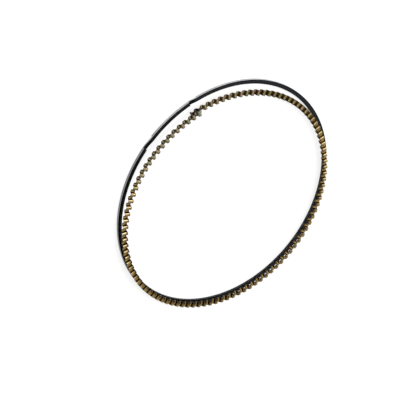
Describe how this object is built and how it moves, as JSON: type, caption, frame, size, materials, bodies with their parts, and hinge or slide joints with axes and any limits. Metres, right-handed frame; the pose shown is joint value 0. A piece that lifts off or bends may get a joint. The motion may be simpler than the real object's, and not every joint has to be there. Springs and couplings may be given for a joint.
{
  "type": "oil control piston ring",
  "caption": "Oil control piston ring, open at one side: a gold-coloured corrugated expander strip resting on thin flat blackened side rails threaded through each other's gaps.",
  "frame": {"origin": "on the floor that the ring lies on, on the axis of the side rails", "axes": "+Z along the rings' axis, from the side rails towards the expander; -Y towards the open ends of all the pieces"},
  "size_m": [0.1018, 0.102, 0.0048],
  "materials": {
    "bronzed_steel": "bronzed thin strip, cleanly folded, with darker cut edges",
    "blackened_steel": "blackened flat sides and a bright plated outer edge"
  },
  "bodies": {
    "root": {"expander": "bronzed_steel", "upper_rail": "blackened_steel", "lower_rail": "blackened_steel"}
  },
  "joints": []
}
